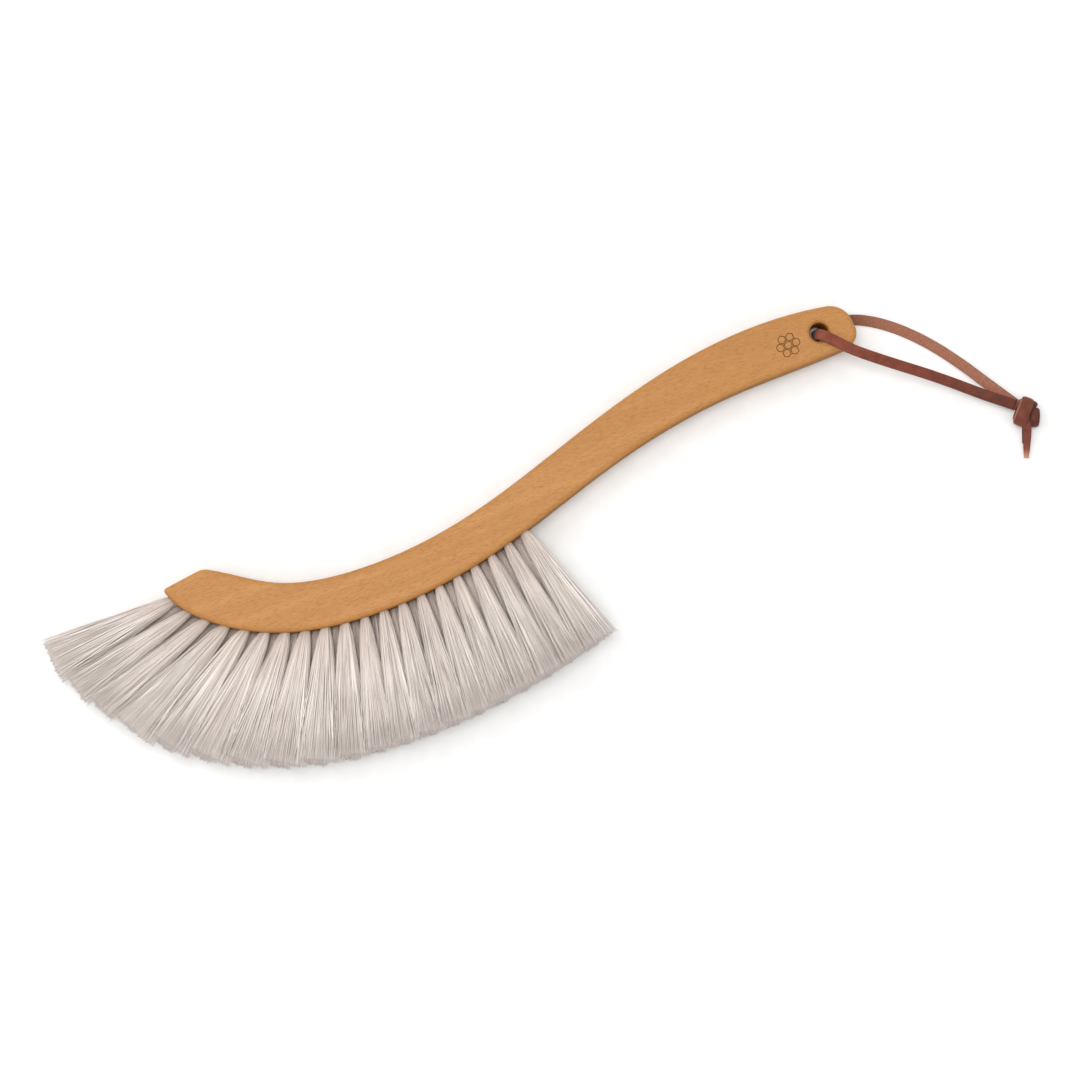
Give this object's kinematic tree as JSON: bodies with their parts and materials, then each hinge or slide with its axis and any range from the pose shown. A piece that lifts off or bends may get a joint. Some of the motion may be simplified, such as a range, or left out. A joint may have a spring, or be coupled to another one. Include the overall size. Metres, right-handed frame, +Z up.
{
  "type": "bee brush",
  "caption": "Curved wooden hand brush with a long S-shaped handle, a fan of long soft light hair along the inner edge of its head, and a knotted leather hanging loop.",
  "frame": {"origin": "bottom centre of the wooden back and hair together, on the table that the brush lies on", "axes": "+Z up, square to the flat sides of the wood; +X along the wood from the nose to the end of the handle; the hair points to -Y"},
  "size_m": [0.4949, 0.1302, 0.0213],
  "materials": {
    "oiled_beech": "oiled, satin, fine short flecks along the grain",
    "horsehair": "natural light hair, soft sheen",
    "anchor_wire": "bright drawn flat wire",
    "lace_leather": "smooth dyed grain side, fuzzy paler flesh side"
  },
  "bodies": {
    "brush": {"lower_row_tuft_01": "horsehair", "lower_row_tuft_02": "horsehair", "lower_row_tuft_03": "horsehair", "lower_row_tuft_04": "horsehair", "lower_row_tuft_05": "horsehair", "lower_row_tuft_06": "horsehair", "lower_row_tuft_07": "horsehair", "lower_row_tuft_08": "horsehair", "lower_row_tuft_09": "horsehair", "lower_row_tuft_10": "horsehair", "lower_row_tuft_11": "horsehair", "lower_row_tuft_12": "horsehair", "lower_row_tuft_13": "horsehair", "lower_row_tuft_14": "horsehair", "lower_row_tuft_15": "horsehair", "lower_row_tuft_16": "horsehair", "lower_row_tuft_17": "horsehair", "lower_row_tuft_18": "horsehair", "lower_row_tuft_19": "horsehair", "tuft_anchors": "anchor_wire", "upper_row_tuft_01": "horsehair", "upper_row_tuft_02": "horsehair", "upper_row_tuft_03": "horsehair", "upper_row_tuft_04": "horsehair", "upper_row_tuft_05": "horsehair", "upper_row_tuft_06": "horsehair", "upper_row_tuft_07": "horsehair", "upper_row_tuft_08": "horsehair", "upper_row_tuft_09": "horsehair", "upper_row_tuft_10": "horsehair", "upper_row_tuft_11": "horsehair", "upper_row_tuft_12": "horsehair", "upper_row_tuft_13": "horsehair", "upper_row_tuft_14": "horsehair", "upper_row_tuft_15": "horsehair", "upper_row_tuft_16": "horsehair", "upper_row_tuft_17": "horsehair", "upper_row_tuft_18": "horsehair", "upper_row_tuft_19": "horsehair", "upper_row_tuft_20": "horsehair", "wooden_back": "oiled_beech"},
    "hanging_lace": {"lace_knot": "lace_leather", "lace_lower_strand": "lace_leather", "lace_tails": "lace_leather", "lace_upper_strand": "lace_leather"}
  },
  "joints": [
    {"name": "loop_swing", "type": "hinge", "parent": "brush", "child": "hanging_lace", "pos_m": [0.1939, 0.05096, 0.0096], "axis": [0, 0, 1], "range_deg": [-75, 150]}
  ]
}
